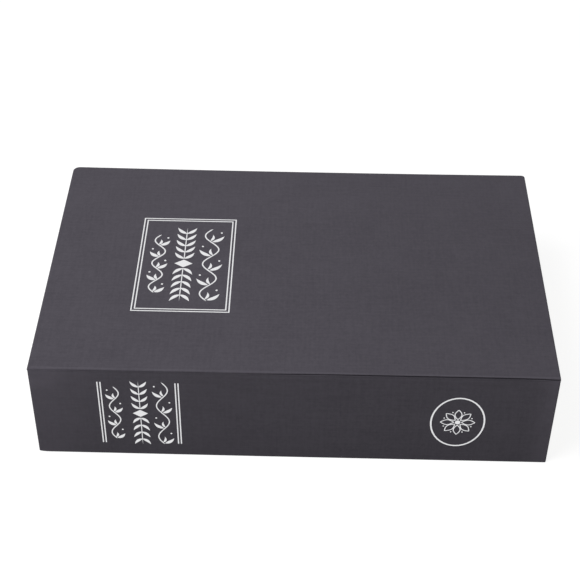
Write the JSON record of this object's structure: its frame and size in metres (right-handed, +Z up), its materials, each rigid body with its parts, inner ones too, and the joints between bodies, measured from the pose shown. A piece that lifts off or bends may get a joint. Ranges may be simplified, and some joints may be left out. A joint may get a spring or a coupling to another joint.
{
  "type": "book diversion safe",
  "caption": "Steel cash box with a lift-up lid and numbered dial lock, hidden inside a cloth bound hardback book with foil frame and rules.",
  "frame": {"origin": "centre of the back cover's underside, where the closed book rests", "axes": "+X along the book from head to tail, +Y from spine to fore-edge, +Z up through the thickness"},
  "size_m": [0.24, 0.155, 0.055],
  "materials": {
    "book_cloth": "fine matt book cloth, charcoal",
    "silver_foil": "stamped silver foil",
    "endpaper": "matt cream paper",
    "page_edges": "cream leaf edges, finely ribbed",
    "coated_steel": "black powder coat, fine texture",
    "felt": "dark grey felt",
    "plated_steel": "zinc plated, satin",
    "bright_chrome": "bright plated",
    "dial_plastic": "black moulded plastic, white numbers",
    "brass": "plain sheet brass"
  },
  "bodies": {
    "safe": {"back_board": "book_cloth", "spine_board": "book_cloth", "back_endpaper": "endpaper", "page_edge_head": "page_edges", "page_edge_tail": "page_edges", "page_edge_fore": "page_edges", "steel_box": "coated_steel", "felt_liner": "felt", "rim_frame": "coated_steel", "hinge_box_leaf": "plated_steel", "hinge_pin": "plated_steel", "hinge_box_rivet_1": "plated_steel", "hinge_box_rivet_2": "plated_steel", "hinge_box_rivet_3": "plated_steel", "spine_rule_1": "silver_foil", "spine_rule_2": "silver_foil", "spine_rule_3": "silver_foil", "spine_rule_4": "silver_foil", "spine_ornament_1": "silver_foil", "spine_ornament_2": "silver_foil", "spine_ornament_3": "silver_foil", "spine_ring": "silver_foil", "spine_rosette": "silver_foil"},
    "cover_joint": {"cloth_joint": "book_cloth"},
    "front_cover": {"front_board": "book_cloth", "front_endpaper": "endpaper", "title_frame_outer": "silver_foil", "title_frame_inner": "silver_foil", "title_ornament_1": "silver_foil", "title_ornament_2": "silver_foil", "title_ornament_3": "silver_foil"},
    "lid": {"lid_plate": "coated_steel", "hinge_lid_leaf": "plated_steel", "hinge_lid_rivet_1": "plated_steel", "hinge_lid_rivet_2": "plated_steel", "hinge_lid_rivet_3": "plated_steel", "lock_bezel": "bright_chrome", "lock_case": "plated_steel", "lock_screw_1": "plated_steel", "lock_screw_2": "plated_steel", "lock_axle": "plated_steel", "detent_spring": "brass"},
    "dial_1": {"dial_1": "dial_plastic", "code_disc_1": "brass"},
    "dial_2": {"dial_2": "dial_plastic", "code_disc_2": "brass"},
    "dial_3": {"dial_3": "dial_plastic", "code_disc_3": "brass"},
    "latch": {"latch_slide": "plated_steel", "latch_button": "dial_plastic"},
    "reset_lever": {"reset_lever": "bright_chrome"}
  },
  "joints": [
    {"name": "lid_hinge", "type": "hinge", "parent": "safe", "child": "lid", "pos_m": [0, -0.0719, 0.0483], "axis": [1, 0, 0], "range_deg": [0, 90]},
    {"name": "joint_fold", "type": "hinge", "parent": "safe", "child": "cover_joint", "pos_m": [0, -0.07735, 0.05185], "axis": [1, 0, 0], "range_deg": [0, 90]},
    {"name": "cover_hinge", "type": "hinge", "parent": "cover_joint", "child": "front_cover", "pos_m": [0, -0.07735, 0.05275], "axis": [1, 0, 0], "range_deg": [0, 90]},
    {"name": "dial_1_turn", "type": "hinge", "parent": "lid", "child": "dial_1", "pos_m": [0, 0.0285, 0.0444], "axis": [0, 1, 0], "continuous": true},
    {"name": "dial_2_turn", "type": "hinge", "parent": "lid", "child": "dial_2", "pos_m": [0, 0.0371, 0.0444], "axis": [0, 1, 0], "continuous": true},
    {"name": "dial_3_turn", "type": "hinge", "parent": "lid", "child": "dial_3", "pos_m": [0, 0.0457, 0.0444], "axis": [0, 1, 0], "continuous": true},
    {"name": "latch_travel", "type": "slide", "parent": "lid", "child": "latch", "axis": [0, 1, 0], "range_m": [0, 0.003]},
    {"name": "reset_turn", "type": "hinge", "parent": "lid", "child": "reset_lever", "pos_m": [0, 0.0569, 0.0354], "axis": [0, 0, 1], "range_deg": [0, 90]}
  ],
  "couplings": [
    {"joint": "joint_fold", "follows": "lid_hinge", "ratio": 1}
  ]
}
